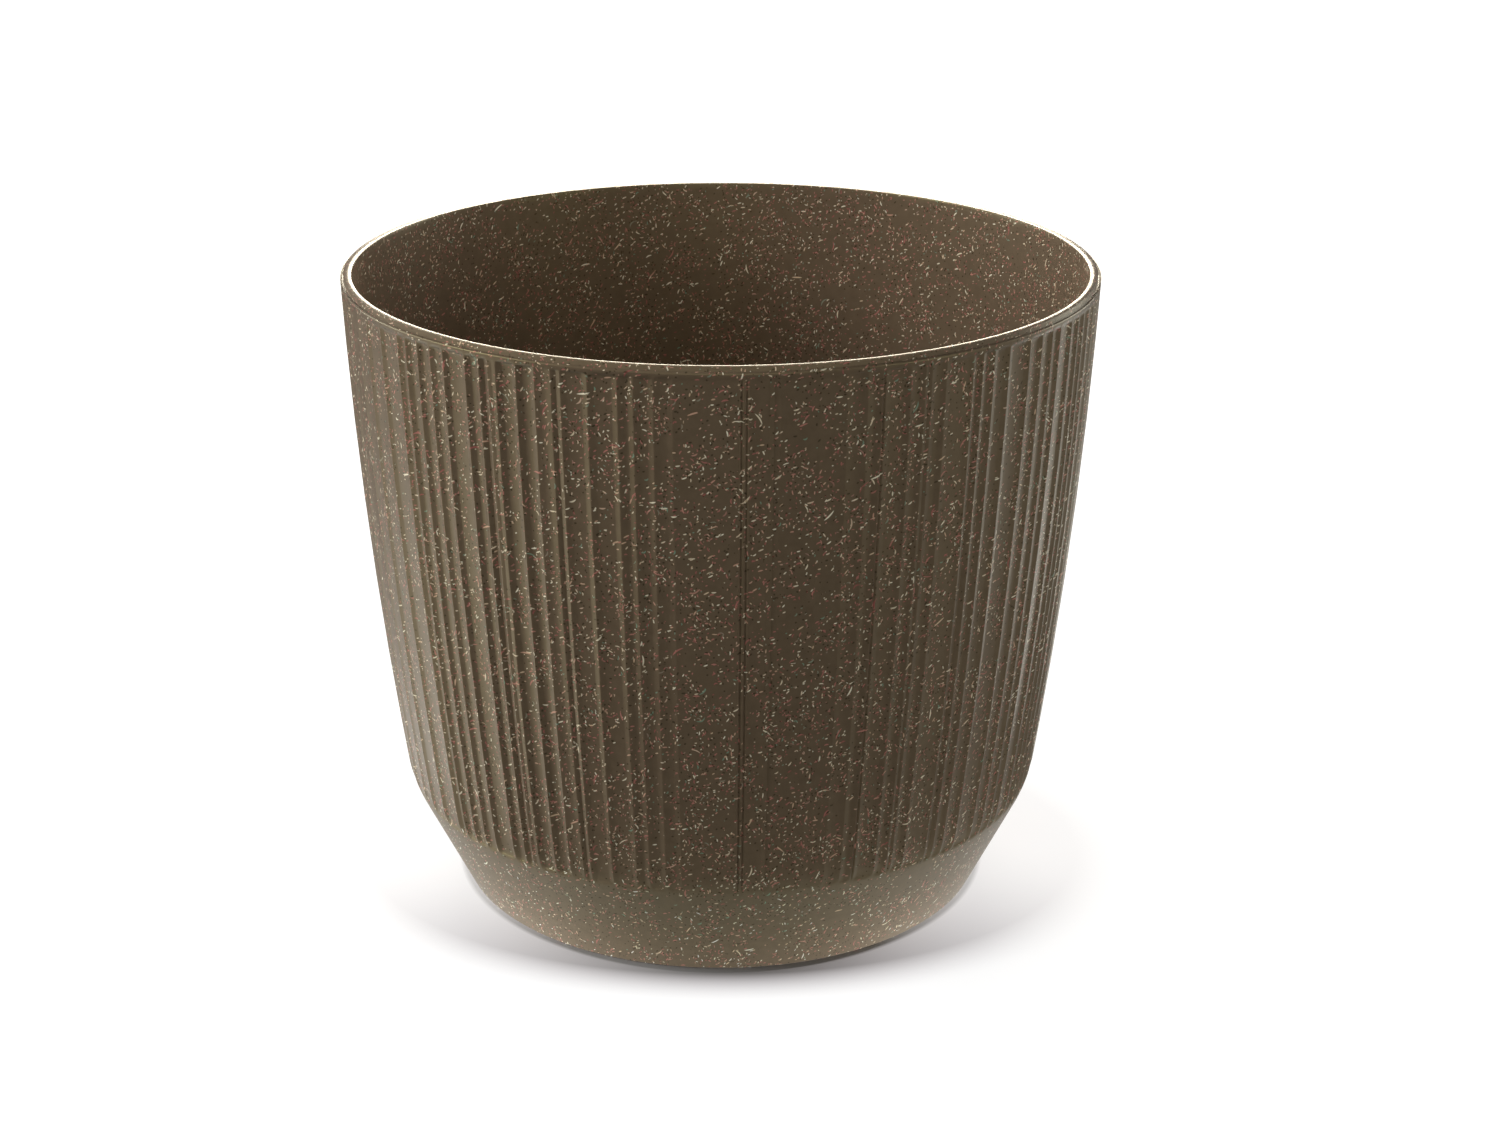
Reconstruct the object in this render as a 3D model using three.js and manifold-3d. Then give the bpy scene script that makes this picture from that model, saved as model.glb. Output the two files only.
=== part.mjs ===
import * as THREE from 'three';
import { mergeVertices } from 'three/addons/utils/BufferGeometryUtils.js';
import Module from 'manifold-3d';

// A one-litre flower pot, moulded in one piece from wood-fibre filled plastic.
// It stands on a foot ring. A smooth cone opens from the foot to a tight bend, and above the
// bend a gently bowed side wall rises to the rim. The wall carries upright flutes of uneven
// width, which meet in sharp crests and run out just under the bend and just under the rim.
// Millimetres and degrees, +Z up, origin at the centre of the foot, on the ground.

// Driving dimensions: the outside
const rimDiameter = 126;
const height = 108;
const footDiameter = 91.4;
const bendHeight = 19.6;
const bendRadius = 16.5;
const wallBowRadius = 820;
const wallLeanAtRim = 1.96;
const footRound = 0.7;
const rimOuterRound = 0.5;

// Driving dimensions: the wall, the floor and the underside
const wallThickness = 1.9;
const floorThickness = 2.2;
const rimInnerRound = 0.25;
const floorCornerRound = 4;
const footRecess = 1.5;
const footRingWidth = 3.4;
const gateDiameter = 5;
const gateHeight = 0.6;

// Driving dimensions: the flutes
const fluteFlankWidth = 0.95;
const fluteRunOutLow = 1.8;
const fluteRunOutHigh = 1;
const fluteDropUnderBend = 0.6;
const plainBandUnderRim = 1.6;
const firstCrestAzimuth = -77;

// The flutes from left to right as seen from the front: each one's width from crest to crest,
// and how far its flanks lean in from the smooth wall, both in degrees. The three narrow ones
// with steep flanks are slits. The row fills half a turn, and the back repeats it.
const flutes = [
  [5.4, 18], [5.7, 18], [4.0, 14], [4.9, 21], [4.9, 24], [2.1, 26], [2.8, 30], [2.8, 30],
  [2.7, 26], [4.2, 30], [2.5, 30], [1.6, 30], [1.3, 8], [3.3, 30], [2.9, 30], [2.5, 12],
  [1.4, 23], [3.9, 21], [4.2, 21], [2.2, 21], [2.7, 21], [2.6, 15], [8.8, 5], [0.7, 41],
  [0.7, 41], [2.6, 7], [1.6, 16], [5.3, 7], [3.9, 7], [2.9, 12], [2.1, 18], [0.5, 42],
  [3.8, 20], [2.3, 20], [1.0, 18], [2.4, 20], [4.7, 14], [1.8, 22], [2.2, 22], [3.1, 22],
  [4.6, 22], [3.0, 23], [2.8, 23], [2.4, 24], [3.8, 26], [2.8, 26], [2.4, 26], [2.6, 26],
  [3.4, 26], [2.8, 24], [4.4, 18], [2.2, 24], [3.6, 22], [1.8, 26], [2.6, 20], [4.8, 18],
  [3.0, 24], [2.4, 22], [3.6, 20],
];
const fluteRowRepeats = 2;

// How finely the curves are cut into flat faces
const wallSteps = 3;
const roundSteps = 3;
const edgeSteps = 1;
const widestFacet = 3.6;
const smoothSides = 90;
const gateSides = 24;

const rimRadius = rimDiameter / 2;
const footRadius = footDiameter / 2;
const floorTop = footRecess + floorThickness;
const fluteFoot = bendHeight - fluteDropUnderBend;
const fluteTop = height - plainBandUnderRim;

// Radius of the bowed side wall at height z: a shallow arc that leans out towards the rim
function bowRadius(z) {
  const below = height - z;
  const lean = Math.tan(THREE.MathUtils.degToRad(wallLeanAtRim));
  return rimRadius - lean * below - below ** 2 / (2 * wallBowRadius);
}

// Lean of the bowed wall at height z, as growth of its radius per millimetre
function bowLean(z) {
  return Math.tan(THREE.MathUtils.degToRad(wallLeanAtRim)) + (height - z) / wallBowRadius;
}

const coneLean = (bowRadius(bendHeight) - footRadius) / bendHeight;
const bendTurn = coneLean - bowLean(bendHeight);
const bendReach = (bendRadius * bendTurn) / 2;

// Radius of the smooth outside at height z: the cone, then the bow, with the bend rounded off
function outsideRadius(z) {
  const sharp = Math.min(footRadius + coneLean * z, bowRadius(z));
  const inBend = Math.max(0, bendReach - Math.abs(z - bendHeight));
  return sharp - (bendTurn * inBend ** 2) / (4 * bendReach);
}

// Radius of the smooth inside, which follows the outside a wall's thickness further in
function insideRadius(z) {
  return outsideRadius(z) - wallThickness;
}

// Share of the full flute depth at height z: each end runs out like a quarter of an ellipse
function fluteShare(z) {
  const intoLowEnd = Math.min(1, Math.max(0, (z - fluteFoot) / fluteRunOutLow));
  const intoHighEnd = Math.min(1, Math.max(0, (fluteTop - z) / fluteRunOutHigh));
  return Math.sqrt(1 - (1 - intoLowEnd) ** 2) * Math.sqrt(1 - (1 - intoHighEnd) ** 2);
}

// Points of the arc that rounds the corner between two straight edges of an outline
function roundedCorner(before, corner, after, radius, steps) {
  const toBefore = before.clone().sub(corner).normalize();
  const toAfter = after.clone().sub(corner).normalize();
  const half = toBefore.angleTo(toAfter) / 2;
  const inward = toBefore.clone().add(toAfter).normalize();
  const centre = corner.clone().addScaledVector(inward, radius / Math.sin(half));
  const start = corner.clone().addScaledVector(toBefore, radius / Math.tan(half)).sub(centre);
  const turn = Math.sign(toBefore.cross(start)) * (Math.PI - 2 * half);
  const origin = new THREE.Vector2();
  return Array.from({ length: steps + 1 }, (_, step) =>
    start.clone().rotateAround(origin, (turn * step) / steps).add(centre));
}

const at = (radius, z) => new THREE.Vector2(radius, z);

// Heights from low to high in equal steps
function heightsBetween(low, high, steps) {
  return Array.from({ length: steps + 1 }, (_, step) => low + ((high - low) * step) / steps);
}

// The smooth outline of the outside, from the centre of the foot up to the centre of the mouth
function outsideOutline() {
  const bendTop = bendHeight + bendReach;
  const ringHeights = [
    fluteFoot,
    fluteFoot + fluteRunOutLow,
    ...heightsBetween(bendTop, fluteTop - fluteRunOutHigh, wallSteps),
    fluteTop,
  ];
  const middle = at(0, 0);
  const mouth = at(0, height);
  const wall = ringHeights.map((z) => at(outsideRadius(z), z));
  return [
    middle,
    ...roundedCorner(middle, at(footRadius, 0), wall[0], footRound, edgeSteps),
    ...wall,
    ...roundedCorner(wall.at(-1), at(rimRadius, height), mouth, rimOuterRound, edgeSteps),
    mouth,
  ];
}

// The outline of the space inside, from the centre of the floor to above the mouth. The inner
// edge of the rim rolls over from the wall to the flat land on top.
function insideOutline() {
  const bendTop = bendHeight + bendReach;
  const ringHeights = [
    ...heightsBetween(bendHeight - bendReach, bendTop, roundSteps),
    ...heightsBetween(bendTop, height - 2 * rimInnerRound, wallSteps).slice(1),
  ];
  const middle = at(0, floorTop);
  const floorCorner = at(insideRadius(floorTop), floorTop);
  const wall = ringHeights.map((z) => at(insideRadius(z), z));
  const rimCorner = at(insideRadius(height), height);
  const above = height + wallThickness;
  return [
    middle,
    ...roundedCorner(middle, floorCorner, wall[0], floorCornerRound, roundSteps),
    ...wall,
    ...roundedCorner(wall.at(-1), rimCorner, at(rimRadius, height), rimInnerRound, edgeSteps),
    at(rimCorner.x + rimInnerRound, above),
    at(0, above),
  ];
}

// The hollow under the floor, inside the foot ring
function recessOutline() {
  const radius = footRadius - footRound - footRingWidth;
  return [at(0, -footRecess), at(radius, -footRecess), at(radius, footRecess), at(0, footRecess)];
}

// The small round mark in the middle of the underside where the plastic was let in
function gateOutline() {
  const radius = gateDiameter / 2;
  const tip = footRecess - gateHeight;
  const root = footRecess + floorThickness / 2;
  return [at(0, tip), at(radius, tip), at(radius, root), at(0, root)];
}

// Width of a flute's flanks and depth of its middle: the two flanks of a narrow flute meet, and
// a wide one has a level bottom between them
function fluteSection(width, lean) {
  const flank = Math.min(fluteFlankWidth, width / 2);
  return { flank, depth: flank * Math.tan(THREE.MathUtils.degToRad(lean)) };
}

// The meridians of the outside all round: azimuth in degrees and depth below the smooth wall
function fluteMeridians() {
  const rowWidth = flutes.reduce((sum, [width]) => sum + width, 0);
  const stretch = 360 / fluteRowRepeats / rowWidth;
  const degreeLength = THREE.MathUtils.degToRad(rimRadius);
  const meridians = [];
  let crest = firstCrestAzimuth;
  for (let repeat = 0; repeat < fluteRowRepeats; repeat += 1) {
    for (const [width, lean] of flutes) {
      const arc = width * stretch;
      const { flank, depth } = fluteSection(arc * degreeLength, lean);
      const flankArc = flank / degreeLength;
      const bottomArc = arc - 2 * flankArc;
      const facets = bottomArc > flankArc / 2 ? Math.ceil(bottomArc / widestFacet) : 0;
      meridians.push({ azimuth: crest, depth: 0 });
      for (let facet = 0; facet <= facets; facet += 1) {
        const across = facets ? facet / facets : 0.5;
        meridians.push({ azimuth: crest + flankArc + across * bottomArc, depth });
      }
      crest += arc;
    }
  }
  return meridians;
}

// Turns an outline into a body of revolution with one side for each meridian, then moves each
// meridian to its azimuth and presses it in by its depth. Azimuth 0 faces the front, which is -Y.
function flutedBody(outline, meridians) {
  const geometry = new THREE.LatheGeometry(outline, meridians.length);
  const position = geometry.getAttribute('position');
  for (let side = 0; side <= meridians.length; side += 1) {
    const { azimuth, depth } = meridians[side % meridians.length];
    const angle = THREE.MathUtils.degToRad(azimuth);
    outline.forEach((point, ring) => {
      const radius = point.x - depth * fluteShare(point.y);
      const radial = point.x > 0 ? radius : 0;
      const index = side * outline.length + ring;
      position.setXYZ(index, radial * Math.sin(angle), -radial * Math.cos(angle), point.y);
    });
  }
  return geometry;
}

// A smooth body of revolution about the Z axis
function turnedBody(outline, sides) {
  const upright = Array.from({ length: sides }, (_, side) => ({
    azimuth: (side * 360) / sides,
    depth: 0,
  }));
  return flutedBody(outline, upright);
}

const wasm = await Module();
wasm.setup();

// A closed geometry as a solid that can be joined and cut
function toSolid(geometry) {
  const bare = geometry.clone();
  bare.deleteAttribute('normal');
  bare.deleteAttribute('uv');
  const merged = mergeVertices(bare, 1e-5);
  const index = Array.from(merged.index.array);
  const triangles = [];
  for (let corner = 0; corner < index.length; corner += 3) {
    const [a, b, c] = index.slice(corner, corner + 3);
    if (a !== b && b !== c && c !== a) triangles.push(a, b, c);
  }
  return new wasm.Manifold(new wasm.Mesh({
    numProp: 3,
    vertProperties: new Float32Array(merged.getAttribute('position').array),
    triVerts: new Uint32Array(triangles),
  }));
}

// A solid as a geometry with flat faces
function toGeometry(solid) {
  const mesh = solid.getMesh();
  const geometry = new THREE.BufferGeometry();
  geometry.setAttribute('position', new THREE.BufferAttribute(mesh.vertProperties, 3));
  geometry.setIndex(new THREE.BufferAttribute(mesh.triVerts, 1));
  geometry.computeVertexNormals();
  return geometry;
}

function potBody() {
  const solid = toSolid(flutedBody(outsideOutline(), fluteMeridians()))
    .subtract(toSolid(turnedBody(insideOutline(), smoothSides)))
    .subtract(toSolid(turnedBody(recessOutline(), smoothSides)))
    .add(toSolid(turnedBody(gateOutline(), gateSides)));
  const plastic = new THREE.MeshStandardMaterial({ color: 0x5a5040, roughness: 0.55, metalness: 0 });
  const mesh = new THREE.Mesh(toGeometry(solid), plastic);
  mesh.name = 'pot_body';
  return mesh;
}

const flowerPot = new THREE.Group();
flowerPot.add(potBody());

export default flowerPot;
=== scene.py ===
import math

import bpy
import numpy as np
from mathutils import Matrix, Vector


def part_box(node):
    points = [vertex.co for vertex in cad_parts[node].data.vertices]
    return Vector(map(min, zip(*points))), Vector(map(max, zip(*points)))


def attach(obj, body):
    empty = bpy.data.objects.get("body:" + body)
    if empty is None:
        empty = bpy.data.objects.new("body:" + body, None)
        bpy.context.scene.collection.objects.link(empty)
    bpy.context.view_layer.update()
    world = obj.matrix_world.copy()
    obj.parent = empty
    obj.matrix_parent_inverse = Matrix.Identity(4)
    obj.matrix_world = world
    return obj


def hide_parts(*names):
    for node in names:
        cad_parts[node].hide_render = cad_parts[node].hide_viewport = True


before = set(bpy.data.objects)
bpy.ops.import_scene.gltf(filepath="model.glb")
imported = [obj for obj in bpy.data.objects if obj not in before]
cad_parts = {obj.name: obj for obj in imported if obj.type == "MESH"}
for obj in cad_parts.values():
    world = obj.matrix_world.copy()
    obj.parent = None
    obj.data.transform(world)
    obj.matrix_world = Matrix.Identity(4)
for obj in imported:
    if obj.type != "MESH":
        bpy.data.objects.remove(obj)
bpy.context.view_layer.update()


# The camera. It stands a little above the pot and in front of it, near enough for the mouth to
# open into a wide ellipse, and looks down at the middle of its height.
camera_distance = 0.447
camera_elevation = math.radians(20.75)
aim = Vector((0, 0, 0.054))

camera_data = bpy.data.cameras.new("camera")
camera_data.lens = 61.56
camera_data.sensor_width = 36
camera_data.shift_x = 0.0195
camera_data.shift_y = 0.0014
camera = bpy.data.objects.new("camera", camera_data)
camera.location = aim + camera_distance * Vector(
    (0, -math.cos(camera_elevation), math.sin(camera_elevation)))
camera.rotation_euler = (math.pi / 2 - camera_elevation, 0, 0)
bpy.context.scene.collection.objects.link(camera)
bpy.context.scene.camera = camera


# The pot: one thin shell of wood-fibre filled plastic, moulded in one shot through a gate in the
# middle of its underside. Its outline is turned about the Z axis, and the mould cuts upright
# flutes of uneven width into the side wall, which meet in narrow crests. Millimetres.
pot_node = "pot_body"
pot_low, pot_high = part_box(pot_node)
rim_radius = 1000 * min(pot_high.x, pot_high.y, -pot_low.x, -pot_low.y)
height = 1000 * pot_high.z
foot_radius = 45.7
bend_height = 19.6
bend_radius = 16.5
wall_bow_radius = 820
wall_lean_at_rim = math.tan(math.radians(1.96))
wall_thickness = 1.9

flute_flank_width = 0.95
flute_foot = 19.0
flute_top = height - 1.6
flute_run_out_low = 1.8
flute_run_out_high = 1.0
shares_of_flank = np.array([0, 0.07, 0.24, 0.85])
edge_softness = 0.06
first_crest_azimuth = -77
# Each flute's width and the lean of its flanks, in degrees. One row of them fills half a turn.
flutes = np.array([
    (5.4, 18), (5.7, 18), (4.0, 14), (4.9, 21), (4.9, 24), (2.1, 26), (2.8, 30), (2.8, 30),
    (2.7, 26), (4.2, 30), (2.5, 30), (1.6, 30), (1.3, 8), (3.3, 30), (2.9, 30), (2.5, 12),
    (1.4, 23), (3.9, 21), (4.2, 21), (2.2, 21), (2.7, 21), (2.6, 15), (8.8, 5), (0.7, 41),
    (0.7, 41), (2.6, 7), (1.6, 16), (5.3, 7), (3.9, 7), (2.9, 12), (2.1, 18), (0.5, 42),
    (3.8, 20), (2.3, 20), (1.0, 18), (2.4, 20), (4.7, 14), (1.8, 22), (2.2, 22), (3.1, 22),
    (4.6, 22), (3.0, 23), (2.8, 23), (2.4, 24), (3.8, 26), (2.8, 26), (2.4, 26), (2.6, 26),
    (3.4, 26), (2.8, 24), (4.4, 18), (2.2, 24), (3.6, 22), (1.8, 26), (2.6, 20), (4.8, 18),
    (3.0, 24), (2.4, 22), (3.6, 20),
])
flute_row_repeats = 2


def bow_radius(z):
    """Radius of the bowed side wall: the rim's, less its lean and a shallow arc below the rim."""
    below = height - z
    return rim_radius - wall_lean_at_rim * below - below ** 2 / (2 * wall_bow_radius)


cone_lean = (bow_radius(bend_height) - foot_radius) / bend_height
bend_turn = cone_lean - wall_lean_at_rim - (height - bend_height) / wall_bow_radius
bend_reach = bend_radius * bend_turn / 2


def outside_radius(z):
    """Radius of the smooth outside: the smaller of cone and bow, less a parabola in the bend."""
    z = np.asarray(z, float)
    sharp = np.minimum(foot_radius + cone_lean * z, bow_radius(z))
    in_bend = np.maximum(0, bend_reach - np.abs(z - bend_height))
    return sharp - bend_turn * in_bend ** 2 / (4 * bend_reach)


def rounded(before, corner, after, radius, steps):
    """Points of the arc of that radius which touches both edges of a corner of an outline."""
    before, corner, after = (np.asarray(point, float) for point in (before, corner, after))
    back = (before - corner) / np.linalg.norm(before - corner)
    on = (after - corner) / np.linalg.norm(after - corner)
    half = math.acos(np.clip(back @ on, -1, 1)) / 2
    inward = (back + on) / np.linalg.norm(back + on)
    centre = corner + inward * radius / math.sin(half)
    start = corner + back * radius / math.tan(half) - centre
    side = np.array([-start[1], start[0]])
    side *= np.sign(side @ on)
    turn = np.linspace(0, math.pi - 2 * half, steps + 1)[:, None]
    return centre + start * np.cos(turn) + side * np.sin(turn)


def on_wall(heights, inset=0.0):
    """Outline points on the wall at those heights, that far in from its smooth outside."""
    heights = np.asarray(heights, float)
    return np.column_stack([outside_radius(heights) - inset, heights])


foot_round = 0.7
foot_recess = 1.5
foot_ring_width = 3.4
floor_top = foot_recess + 2.2
floor_corner_round = 4
recess_radius = foot_radius - foot_round - foot_ring_width
gate_radius = 2.5
gate_tip = foot_recess - 0.6
rim_outer_round = 0.5
rim_inner_round = 0.25
land_margin = 0.06
recess_halfway = 12
floor_halfway = 22

# The outline runs from the gate mark out to the foot and up to the rim, then down the inside to
# the middle of the floor. The lists of heights place the mesh's rings on straight stretches.
underside = np.vstack([
    rounded((0, gate_tip), (gate_radius, gate_tip), (gate_radius, foot_recess), 0.3, 3),
    rounded((gate_radius, gate_tip), (gate_radius, foot_recess),
            (recess_halfway, foot_recess), 0.25, 2),
    [(recess_halfway, foot_recess)],
    rounded((recess_halfway, foot_recess), (recess_radius, foot_recess), (recess_radius, 0),
            0.6, 3),
    rounded((recess_radius, foot_recess), (recess_radius, 0), (foot_radius, 0), 0.3, 2),
])
run_out = np.array([0, 0.05, 0.14, 0.28, 0.46, 0.7, 1.0])
outside = np.vstack([
    rounded((recess_radius, 0), (foot_radius, 0), on_wall([2])[0], foot_round, 5),
    on_wall([6, 12, 16.2, 17.4, 18.3]),
    on_wall(flute_foot + flute_run_out_low * run_out),
    on_wall([21.8, 23.2, 30, 42, 56, 70, 84, 97]),
    on_wall(flute_top - flute_run_out_high * run_out[::-1]),
    on_wall([height - 1.1]),
    rounded(on_wall([height - 1])[0], (rim_radius, height), (0, height), rim_outer_round, 5),
])
inner_edge = on_wall([height], wall_thickness)[0]
floor_corner = on_wall([floor_top], wall_thickness)[0]
inside = np.vstack([
    [(rim_radius - rim_outer_round - land_margin, height),
     (inner_edge[0] + rim_inner_round + land_margin, height)],
    rounded((rim_radius, height), inner_edge, on_wall([90], wall_thickness)[0],
            rim_inner_round, 4),
    on_wall([106.6, 92, 74, 56, 38, 24, 22, 20.4, 18.8, 17.2, 12], wall_thickness),
    rounded(on_wall([12], wall_thickness)[0], floor_corner, (0, floor_top),
            floor_corner_round, 6),
    [(floor_halfway, floor_top)],
])
outline = np.vstack([underside, outside, inside])
ring_radii, ring_heights = outline.T
on_outside = np.zeros(len(outline), bool)
on_outside[len(underside):len(underside) + len(outside)] = True


def flute_columns():
    """Azimuths of the mesh's columns. For each: the distance from the nearest crest, the width
    of the flute's flanks in millimetres, and the tangent of their lean."""
    widths, leans = np.tile(flutes, (flute_row_repeats, 1)).T
    widths = widths * 360 / widths.sum()
    crests = first_crest_azimuth + np.concatenate([[0], np.cumsum(widths)[:-1]])
    degree = math.radians(rim_radius)
    half = widths[:, None] * degree / 2
    flank = np.minimum(flute_flank_width, half)
    near = shares_of_flank * flank
    beside_flank = 1.12 * flute_flank_width
    near = np.hstack([near, np.minimum(beside_flank, (near[:, -1:] + half) / 2)])
    far = 2 * half - near[:, :0:-1]
    across = np.hstack([near, half, far])
    azimuths = crests[:, None] + across / degree
    from_crest = np.minimum(across, 2 * half - across)
    slopes = np.tan(np.radians(leans))[:, None]
    return [np.broadcast_to(value, across.shape).ravel()
            for value in (azimuths, from_crest, flank, slopes)]


def flute_depths(from_crest, flank, slope, z):
    """Depth of the wall's surface below its smooth outside. A flute's footprint is a strip with
    rounded ends. Depth grows evenly with the distance in from the footprint's edge as far as the
    flank is wide, and two hyperbolas round the crest and the foot of the flank. The ends run out
    like a quarter of an ellipse."""
    low = np.clip((z - flute_foot) / flute_run_out_low, 0, 1)
    high = np.clip((flute_top - z) / flute_run_out_high, 0, 1)
    end = flank * np.sqrt((1 - (1 - low) ** 2) * (1 - (1 - high) ** 2))
    corner = (from_crest < flank) & (end < flank)
    in_corner = flank - np.hypot(flank - from_crest, flank - end)
    edge = np.where(corner, in_corner, np.minimum(from_crest, end))
    edge = np.maximum(edge, 0)
    eased = np.sqrt(edge ** 2 + edge_softness ** 2) - edge_softness
    levelled = (eased + flank - np.sqrt((eased - flank) ** 2 + edge_softness ** 2)) / 2
    return np.where(end > 0, np.maximum(levelled, 0) * slope, 0)


azimuths, from_crest, flanks, slopes = flute_columns()
angles = np.radians(azimuths)
depths = flute_depths(from_crest[None], flanks[None], slopes[None], ring_heights[:, None])
radii = ring_radii[:, None] - np.where(on_outside[:, None], depths, 0)
wall_points = np.stack([
    radii * np.sin(angles),
    -radii * np.cos(angles),
    np.broadcast_to(ring_heights[:, None], radii.shape),
], axis=-1)
poles = np.array([[0, 0, gate_tip], [0, 0, floor_top]])


def turned_faces(rings, columns):
    """Corner and vertex numbers of a closed turned grid: a fan, quads between rings, a fan."""
    here = np.arange(columns)
    after = (here + 1) % columns
    low_pole, high_pole = rings * columns, rings * columns + 1
    ring = np.arange(rings - 1)[:, None] * columns
    quads = np.stack([ring + here, ring + after, ring + after + columns, ring + here + columns],
                     axis=-1).reshape(-1, 4)
    low_fan = np.column_stack([np.full(columns, low_pole), after, here])
    last = (rings - 1) * columns
    high_fan = np.column_stack([np.full(columns, high_pole), last + here, last + after])
    return low_fan, quads, high_fan


def closed_mesh(name, points, groups):
    """A mesh of these points, with groups of faces that have the same number of corners."""
    mesh = bpy.data.meshes.new(name)
    corners = np.concatenate([group.ravel() for group in groups])
    sizes = np.concatenate([np.full(len(group), group.shape[1]) for group in groups])
    mesh.vertices.add(len(points))
    mesh.vertices.foreach_set("co", np.asarray(points, np.float32).ravel())
    mesh.loops.add(len(corners))
    mesh.loops.foreach_set("vertex_index", corners.astype(np.int32))
    mesh.polygons.add(len(sizes))
    starts = np.concatenate([[0], np.cumsum(sizes)[:-1]])
    mesh.polygons.foreach_set("loop_start", starts.astype(np.int32))
    mesh.polygons.foreach_set("use_smooth", np.ones(len(sizes), bool))
    mesh.update(calc_edges=True)
    mesh.validate()
    return mesh


rings, columns = radii.shape
face_groups = turned_faces(rings, columns)
pot_points = np.vstack([wall_points.reshape(-1, 3), poles]) / 1000
pot_mesh = closed_mesh("pot_shell", pot_points, face_groups)


def surface_coordinates():
    """Millimetres along the surface for each face corner: round the pot and up its outline on
    the walls, and X and Y, shifted clear of the walls' range, on the underside and the floor."""
    unrolled_radius = 58
    flat_parts_shift = -300
    degree = math.radians(1) * unrolled_radius
    steps = np.hypot(*np.diff(outline, axis=0).T)
    along = np.concatenate([[0], np.cumsum(steps)])
    here = azimuths * degree
    after = np.append(here[1:], here[0] + 360 * degree)
    low, high = along[:-1, None], along[1:, None]
    across = [np.broadcast_to(value, (rings - 1, columns)) for value in (here, after, after, here)]
    upward = [np.broadcast_to(value, (rings - 1, columns)) for value in (low, low, high, high)]
    walls = np.stack([np.stack(across, -1), np.stack(upward, -1)], -1)
    plan = pot_points[:, :2] * 1000 + flat_parts_shift
    low_fan, quads, high_fan = face_groups
    flat = plan[quads].reshape(rings - 1, columns, 4, 2)
    is_underside = np.arange(rings - 1) < len(underside)
    is_floor = np.arange(rings - 1) >= rings - 2
    walls = np.where((is_underside | is_floor)[:, None, None, None], flat, walls)
    parts = [plan[low_fan], walls, plan[high_fan]]
    flat_parts = np.concatenate([part.reshape(-1, 2) for part in parts])
    return np.column_stack([flat_parts, np.zeros(len(flat_parts))])


coordinates = pot_mesh.attributes.new("surface_mm", "FLOAT_VECTOR", "CORNER")
coordinates.data.foreach_set("vector", surface_coordinates().astype(np.float32).ravel())
# The foot band below the flutes. The shader gives it fewer small fibres, and paints its colour
# paler as painted light from below.
foot_band_top = 21
foot_band_fade = 2.4
below_flutes = np.clip((foot_band_top - ring_heights) / foot_band_fade, 0, 1) * on_outside
foot_band = pot_mesh.attributes.new("foot_band", "FLOAT", "POINT")
foot_band.data.foreach_set(
    "value", np.append(np.repeat(below_flutes, columns), (0, 0)).astype(np.float32))


class Wire:
    """A node's output socket in Python arithmetic: each operator on it adds one Math node."""

    def __init__(self, socket):
        self.socket = socket

    @staticmethod
    def node(tree, kind, settings, inputs, output=0):
        """A new node: its settings first, then the values or links of its sockets."""
        made = tree.nodes.new(kind)
        for name, value in settings.items():
            if name == "stops":
                stops = made.color_ramp.elements
                while len(stops) < len(value):
                    stops.new(1)
                for stop, (place, colour) in zip(stops, value):
                    stop.position = place
                    stop.color = (*colour, 1)
            else:
                setattr(made, name, value)
        for name, value in inputs.items():
            if isinstance(value, Wire):
                tree.links.new(value.socket, made.inputs[name])
            else:
                made.inputs[name].default_value = value
        return Wire(made.outputs[output])

    def other(self, output):
        """Another output of the same node, by its name or number."""
        return Wire(self.socket.node.outputs[output])

    def math(self, operation, *values, clamp=False):
        """A Math node on this wire and the values."""
        return Wire.node(self.socket.id_data, "ShaderNodeMath",
                         {"operation": operation, "use_clamp": clamp},
                         dict(enumerate((self, *values))))

    def reflected(self, operation, value):
        """A Math node on the value and then this wire, for an expression such as 1 - mask."""
        return Wire.node(self.socket.id_data, "ShaderNodeMath", {"operation": operation},
                         {0: value, 1: self})

    def vector(self, operation, *values, output=0):
        """A Vector Math node on this wire and the values."""
        return Wire.node(self.socket.id_data, "ShaderNodeVectorMath",
                         {"operation": operation}, dict(enumerate((self, *values))), output)

    def __add__(self, value):
        return self.math("ADD", value)

    def __radd__(self, value):
        return self.reflected("ADD", value)

    def __sub__(self, value):
        return self.math("SUBTRACT", value)

    def __rsub__(self, value):
        return self.reflected("SUBTRACT", value)

    def __mul__(self, value):
        return self.math("MULTIPLY", value)

    def __rmul__(self, value):
        return self.reflected("MULTIPLY", value)

    def __truediv__(self, value):
        return self.math("DIVIDE", value)

    def __rtruediv__(self, value):
        return self.reflected("DIVIDE", value)

    def ramp(self, start, end):
        """0 up to start, then rising evenly to 1 at end. Where start is the larger, it falls."""
        return (self - start).math("DIVIDE", end - start, clamp=True)

    def mix(self, below, above):
        """The colour below where this wire is 0, and the colour above where it is 1."""
        return Wire.node(self.socket.id_data, "ShaderNodeMix", {"data_type": "RGBA"},
                         {0: self, 6: below, 7: above}, 2)


def srgb(red, green, blue):
    """A screen colour from 0 to 255 as the linear colour that a shader takes."""
    values = np.array([red, green, blue]) / 255
    linear = np.where(values <= 0.04045, values / 12.92, ((values + 0.055) / 1.055) ** 2.4)
    return (*linear.tolist(), 1)


def noise(tree, place, scale, detail):
    """Soft noise about 0.5, with that many waves to a millimetre."""
    return Wire.node(tree, "ShaderNodeTexNoise", {"noise_dimensions": "2D"},
                     {"Vector": place, "Scale": scale, "Detail": detail, "Roughness": 0.6}, 0)


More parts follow.
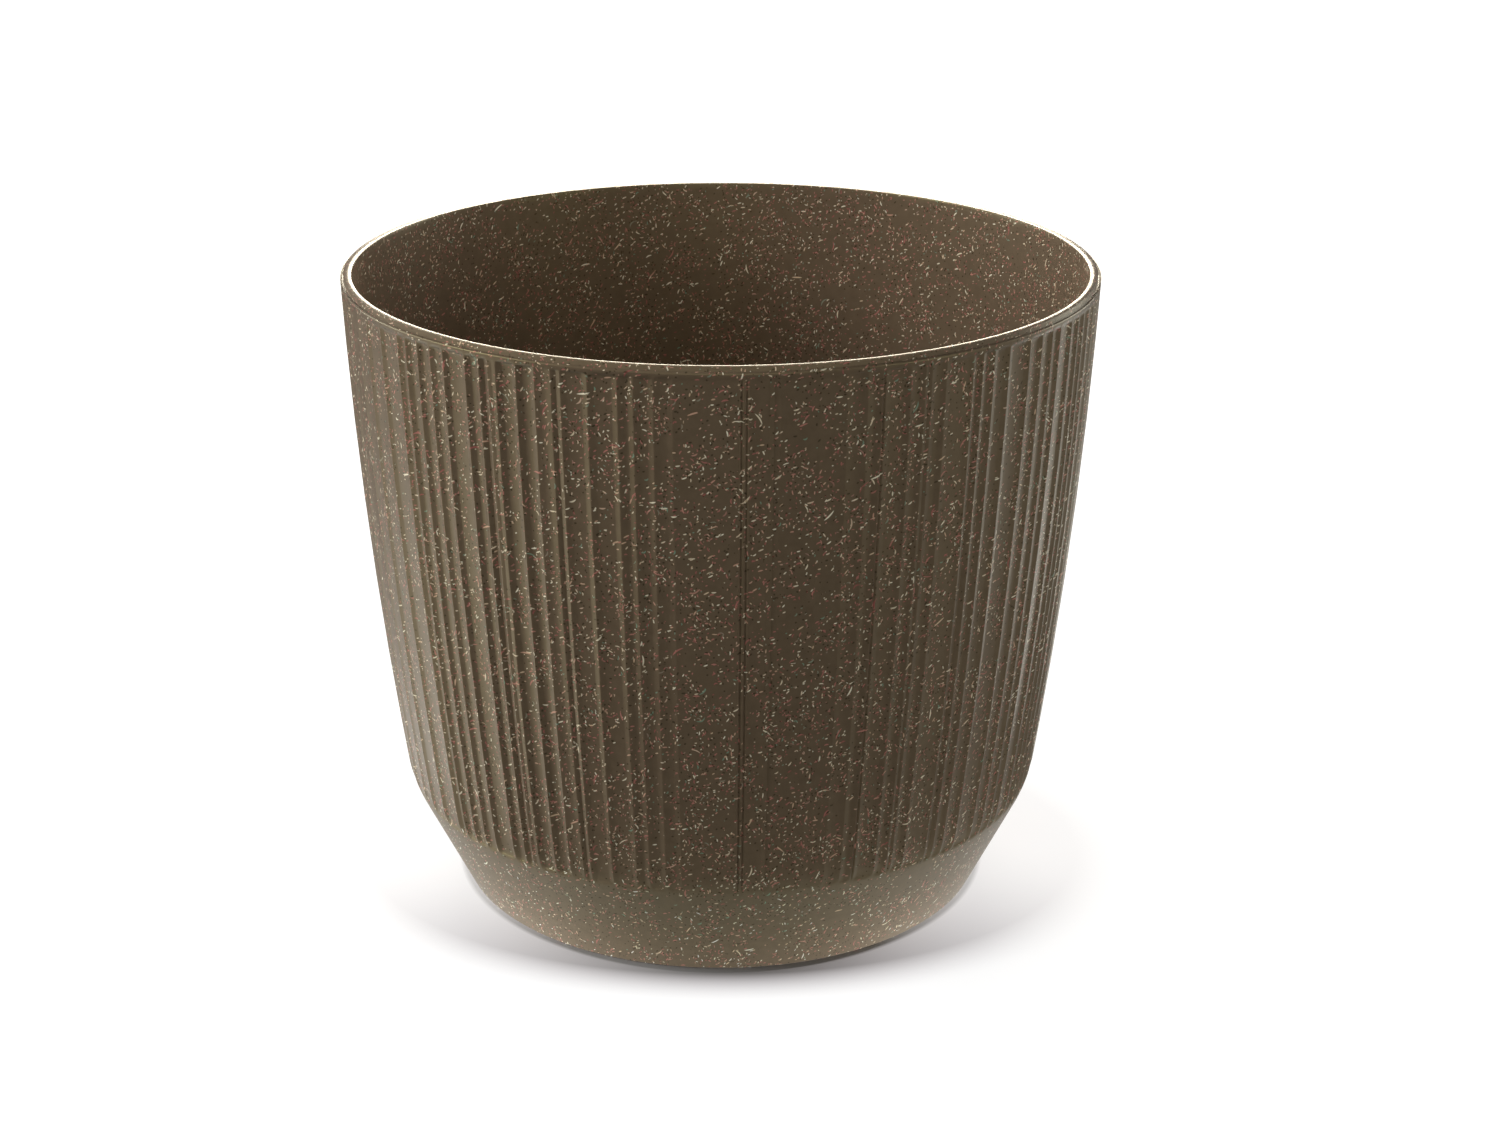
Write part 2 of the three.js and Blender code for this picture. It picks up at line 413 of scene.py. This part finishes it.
def fibres(tree, place, crowding, cell, shift, length, width, bow, share):
    """Short bent fibres strewn over a surface, one at most in each cell of a Voronoi pattern.
    A fibre lies about its cell's point at a random angle. It covers the places where an ellipse
    of its length and width, bent along a parabola, is under 1. Millimetres."""
    spot = place.vector("ADD", (shift, shift * 1.7, 0))
    cells = Wire.node(tree, "ShaderNodeTexVoronoi",
                      {"voronoi_dimensions": "2D", "feature": "F1"},
                      {"Vector": spot, "Scale": 1 / cell, "Randomness": 1.0}, "Position")
    chance = Wire.node(tree, "ShaderNodeTexWhiteNoise", {"noise_dimensions": "2D"},
                       {"Vector": cells.vector("ADD", (0.37, 0.11, 0))}, "Color")
    split = Wire.node(tree, "ShaderNodeSeparateColor", {}, {0: chance}, 0)
    turn, stretch, tint = split * (2 * math.pi), split.other(1), split.other(2)
    pick = chance.other("Value")
    offset = Wire.node(tree, "ShaderNodeSeparateXYZ", {},
                       {0: spot.vector("SUBTRACT", cells)}, 0)
    right, up = offset, offset.other(1)
    cosine, sine = turn.math("COSINE"), turn.math("SINE")
    own_length = (stretch * 0.9 + 0.55) * length
    own_width = (1.3 - pick * 0.8) * width
    along = (right * cosine + up * sine) / own_length
    bend = (tint - 0.5) * (2 * bow)
    across = (up * cosine - right * sine - bend * along * along) / own_width
    inside_fibre = 1 - (along * along + across * across)
    edge_sharpness = 2.5
    edge = inside_fibre.math("MULTIPLY", edge_sharpness, clamp=True)
    present = (crowding * share - pick).math("GREATER_THAN", 0.0)
    return edge * present, tint, stretch


def fibre_filled_plastic():
    """Olive-brown plastic with a warm satin sheen, full of short wood fibres, most of them rusty
    or pale and a few dark. On the foot fewer of them are small, and the colour there is painted
    paler: painted light that stands for the light the foot gets from below."""
    material = bpy.data.materials.new("fibre_filled_plastic")
    material.use_nodes = True
    tree = material.node_tree
    shader = tree.nodes["Principled BSDF"]
    place = Wire.node(tree, "ShaderNodeAttribute",
                      {"attribute_name": "surface_mm", "attribute_type": "GEOMETRY"},
                      {}, "Vector")
    foot = Wire.node(tree, "ShaderNodeAttribute",
                     {"attribute_name": "foot_band", "attribute_type": "GEOMETRY"}, {}, "Fac")
    patchiness, least_crowding = 4.4, 0.15
    cloud = noise(tree, place, 0.17, 2.0)
    crowding = ((cloud - 0.5) * patchiness + 1.0).math("MAXIMUM", least_crowding)
    mottle = noise(tree, place, 0.5, 4.0)
    colour = mottle.ramp(0.3, 0.7).mix(srgb(107, 91, 74), srgb(114, 97, 79))

    fibre_colours = {"stops": [
        (0.0, srgb(162, 92, 88)[:3]),
        (0.34, srgb(198, 132, 120)[:3]),
        (0.50, srgb(226, 196, 160)[:3]),
        (0.62, srgb(255, 248, 220)[:3]),
        (0.76, srgb(236, 218, 184)[:3]),
        (0.86, srgb(180, 114, 104)[:3]),
        (0.985, srgb(128, 158, 134)[:3]),
    ]}
    layers = [
        # cell, shift, length, width, bow, share, loss of it on the foot
        (0.70, 11.3, 0.15, 0.080, 0.03, 0.24, 0.75),
        (0.84, 47.9, 0.21, 0.088, 0.07, 0.34, 0.60),
        (1.15, 83.1, 0.30, 0.096, 0.14, 0.40, 0.10),
        (1.7, 129.7, 0.40, 0.105, 0.22, 0.36, -0.20),
        (4.4, 203.9, 0.80, 0.115, 0.45, 0.34, -0.20),
    ]
    covered = None
    for cell, shift, length, width, bow, share, loss in layers:
        fibre, tint, stretch = fibres(
            tree, place, crowding * (1 - foot * loss), cell, shift, length, width, bow, share)
        hue = Wire.node(tree, "ShaderNodeValToRGB", fibre_colours, {"Fac": tint}, 0)
        cover = stretch * 0.25 + 0.8
        colour = (fibre * cover).mix(colour, hue)
        covered = fibre if covered is None else covered.math("MAXIMUM", fibre)
    dark_cover = 0.7
    dark_layers = [
        # cell, shift, length, width, bow, share
        (1.0, 171.3, 0.16, 0.12, 0.03, 0.40),
        (1.7, 251.7, 0.24, 0.12, 0.03, 0.36),
    ]
    for layer in dark_layers:
        speck, _, _ = fibres(tree, place, crowding, *layer)
        colour = (speck * dark_cover).mix(colour, srgb(36, 28, 22))
    # Painted light: on the foot band the colour is raised, up to a limit, for light from below.
    painted_foot_light_gain, painted_light_limit = (1.24, 1.35, 1.31), (0.95, 0.95, 0.9)
    painted_light_colour = colour.vector("MULTIPLY", painted_foot_light_gain).vector("MINIMUM", painted_light_limit)
    colour = foot.mix(colour, painted_light_colour)

    grain = noise(tree, place, 2.2, 3.0)
    roughness = (grain - 0.5) * 0.1 + 0.34
    relief = grain * 0.5 + covered * 0.35
    bump = Wire.node(tree, "ShaderNodeBump", {},
                     {"Height": relief, "Strength": 0.25, "Distance": 0.00002}, 0)
    tree.links.new(colour.socket, shader.inputs["Base Color"])
    tree.links.new(roughness.socket, shader.inputs["Roughness"])
    tree.links.new(bump.socket, shader.inputs["Normal"])
    shader.inputs["Specular IOR Level"].default_value = 0.53
    shader.inputs["Specular Tint"].default_value = (1.0, 0.92, 0.37, 1)
    return material


pot_shell = bpy.data.objects.new("pot_shell", pot_mesh)
pot_mesh.materials.append(fibre_filled_plastic())
bpy.context.scene.collection.objects.link(pot_shell)
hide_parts(pot_node)
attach(pot_shell, "root")


# The studio: a white floor, a white surround and soft lamps. The floor keeps the pot's shadow from
# the lamps, adds a painted shadow round the foot, and glows with painted light for bounced and
# mirrored rays.
def stage_plane(name, size, material):
    """A square plane on the ground, centred on the pot."""
    mesh = bpy.data.meshes.new(name)
    half = size / 2
    mesh.from_pydata([(-half, -half, 0), (half, -half, 0), (half, half, 0), (-half, half, 0)],
                     [], [(0, 1, 2, 3)])
    mesh.materials.append(material)
    plane = bpy.data.objects.new(name, mesh)
    bpy.context.scene.collection.objects.link(plane)


def ray_kinds(tree):
    """1 for the camera's own rays, else 0, and 1 for mirrored and refracted rays, else 0."""
    camera_ray = Wire.node(tree, "ShaderNodeLightPath", {}, {}, "Is Camera Ray")
    mirrored = camera_ray.other("Is Glossy Ray").math(
        "MAXIMUM", camera_ray.other("Is Transmission Ray"))
    return camera_ray, mirrored


def floor_material():
    """White to the camera but for the pot's shadow, partly real from the lamps and partly painted:
    a painted soft pool that is darkest at the foot's front, and a painted thin dark line where the
    foot touches. Bounced light sees a pale floor with a painted glow, brightest round the foot,
    that lights the pot from below. Reflections see a painted reflection in its glow: dull in
    front, white on the left, and white in a narrow sector on the right and behind. Metres from the
    pot's axis."""
    material = bpy.data.materials.new("white_floor")
    material.use_nodes = True
    tree = material.node_tree
    shader = tree.nodes["Principled BSDF"]
    shader.inputs["Roughness"].default_value = 1.0
    shader.inputs["Specular IOR Level"].default_value = 0.0
    camera_ray, mirrored = ray_kinds(tree)
    bounced = 1 - camera_ray - mirrored
    shade = camera_ray * 0.3 + bounced * 0.255
    colour = shade.mix((0, 0, 0, 1), (1, 1, 1, 1))
    tree.links.new(colour.socket, shader.inputs["Base Color"])

    place = Wire.node(tree, "ShaderNodeTexCoord", {}, {}, "Object")
    away = place.vector("LENGTH", output="Value")
    split = Wire.node(tree, "ShaderNodeSeparateXYZ", {}, {0: place}, 0)
    sideways, frontways = split / away, split.other(1) / away * -1

    # Painted shadow: a soft pool round the foot, darkest at its front, and a thin painted dark
    # line where the foot touches.
    pool = place.vector("MULTIPLY", (0.74, 1, 1)).vector("LENGTH", output="Value")
    pool_fade = pool.ramp(0.057, 0.0475).math("POWER", 1.7)
    frontness = frontways.math("MAXIMUM", 0.0).math("POWER", 2.2)
    shadow = (frontness * 0.88 + 0.12) * pool_fade
    painted_contact_line = away.ramp(0.0472, 0.0463)
    distant = away.ramp(0.14, 0.54)
    # For the camera: white far away, less the painted shadow pool and the painted dark line at the
    # foot.
    seen = (distant * 0.13 + 0.87 - shadow * 0.82 - painted_contact_line * 0.3).math("MAXIMUM", 0.0)

    # Painted light: for bounced rays the floor glows round the foot, less straight in front, to
    # light the pot from below.
    round_foot = away.ramp(0.075, 0.055)
    glow = round_foot * (1.45 - frontways.ramp(0.75, 1.0) * 0.95)

    # Painted reflection: for mirrored rays the floor glows dull near the foot and in front, bright
    # on the left and in a narrow sector behind on the right.
    close = away.ramp(0.09, 0.06)
    far = away.ramp(0.2, 0.3)
    behind = (frontways * -1).ramp(0.1, 0.5)
    left = (sideways * -1).ramp(0.72, 0.9) * (1 - behind * 0.6)
    right = sideways.ramp(0.55, 0.9)
    back_right = (sideways * 0.899 - frontways * 0.438).ramp(0.955, 0.985)
    nearby = 0.62 - frontways.ramp(0.78, 1.0) * 0.3
    around = (left * 1.5 + back_right * 1.7) * (1 - far * 0.5) + right * 0.25 + 0.1
    reflected = close * nearby + (1 - close) * around

    # The painted shadow is tinted warm.
    shadow_tint = shadow.mix((1, 1, 1, 1), (1, 0.93, 0.965, 1))
    strength = camera_ray * seen + mirrored * reflected + bounced * glow
    lift = Wire.node(tree, "ShaderNodeEmission", {},
                     {"Color": shadow_tint, "Strength": strength})
    both = Wire.node(tree, "ShaderNodeAddShader", {},
                     {0: Wire(shader.outputs[0]), 1: lift})
    tree.links.new(both.socket, tree.nodes["Material Output"].inputs["Surface"])
    return material


stage_plane("floor", 12, floor_material())

# The surround is white to the camera and dim in reflections, and lights nothing else.
world = bpy.data.worlds.new("surround")
bpy.context.scene.world = world
world.use_nodes = True
world_tree = world.node_tree
camera_ray, mirrored = ray_kinds(world_tree)
background = world_tree.nodes["Background"]
background.inputs["Color"].default_value = (1, 1, 1, 1)
world_tree.links.new((camera_ray + mirrored * 0.22).socket, background.inputs["Strength"])


lamp_distance = 1.2


def soft_lamp(name, azimuth, elevation, width, depth, watts, colour=(1, 1, 1)):
    """A rectangular lamp aimed at the middle of the pot. Azimuth 0 is the camera's side, and
    azimuth 90 its right."""
    data = bpy.data.lights.new(name, "AREA")
    data.shape = "RECTANGLE"
    data.size = width
    data.size_y = depth
    data.energy = watts
    data.color = colour
    lamp = bpy.data.objects.new(name, data)
    turn, rise = math.radians(azimuth), math.radians(elevation)
    away = Vector((math.sin(turn) * math.cos(rise), -math.cos(turn) * math.cos(rise),
                   math.sin(rise)))
    lamp.location = aim + lamp_distance * away
    lamp.rotation_euler = away.to_track_quat("Z", "Y").to_euler()
    bpy.context.scene.collection.objects.link(lamp)


# Name, azimuth and elevation in degrees, width and depth in metres, watts, colour.
soft_lamp("back", 180, 20, 0.7, 0.3, 13.0, (1, 0.91, 0.78))
soft_lamp("left_high", -80, 29, 0.55, 0.55, 8.9)
soft_lamp("left_low", -112, 12, 0.55, 0.55, 4.8)
soft_lamp("left_back", -150, 40, 0.55, 0.55, 1.7)
soft_lamp("right_back", 122, 14, 0.55, 0.55, 4.6)
soft_lamp("right_front", 60, 12, 0.55, 0.55, 2.2)
soft_lamp("front", 5, 24, 0.8, 0.8, 2.3)
soft_lamp("top", 0, 89, 1.2, 1.2, 2.0)

bpy.context.scene.view_settings.view_transform = "Standard"
